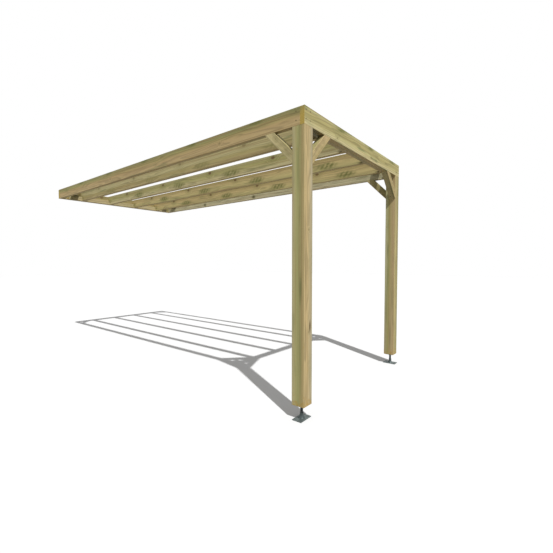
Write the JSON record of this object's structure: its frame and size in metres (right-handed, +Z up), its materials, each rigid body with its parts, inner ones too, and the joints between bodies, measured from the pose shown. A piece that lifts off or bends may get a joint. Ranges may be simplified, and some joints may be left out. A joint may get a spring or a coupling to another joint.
{
  "type": "lean-to pergola",
  "caption": "Open timber lean-to pergola: a flat frame of rafters between a wall ledger and a front beam, braced at its corners, on square posts with metal feet.",
  "frame": {"origin": "centre of the wall ledger's back face, which lies on the wall", "axes": "+X runs to the right along the wall, seen from in front of the pergola; +Y points into the wall; +Z points up"},
  "size_m": [2.16, 5.015, 2.525],
  "materials": {
    "treated_timber": "planed, pressure treated, green-tinted pine",
    "foot_steel": "dull hot-dip galvanised steel, darkened by weather"
  },
  "bodies": {
    "root": {"wall_ledger": "treated_timber", "front_beam": "treated_timber", "side_rafter_left": "treated_timber", "side_rafter_right": "treated_timber", "rafter_1": "treated_timber", "rafter_2": "treated_timber", "rafter_3": "treated_timber", "rafter_4": "treated_timber", "front_bearing_strip": "treated_timber", "wall_bearing_strip": "treated_timber", "post_left": "treated_timber", "post_right": "treated_timber", "side_brace_left": "treated_timber", "side_brace_right": "treated_timber", "front_brace_left": "treated_timber", "front_brace_right": "treated_timber", "corner_brace_front_left": "treated_timber", "corner_brace_front_right": "treated_timber", "corner_brace_wall_left": "treated_timber", "corner_brace_wall_right": "treated_timber", "base_plate_left": "foot_steel", "base_plate_right": "foot_steel", "foot_collar_left": "foot_steel", "foot_collar_right": "foot_steel", "foot_stem_left": "foot_steel", "foot_stem_right": "foot_steel", "foot_nut_left": "foot_steel", "foot_nut_right": "foot_steel", "head_plate_left": "foot_steel", "head_plate_right": "foot_steel"}
  },
  "joints": []
}
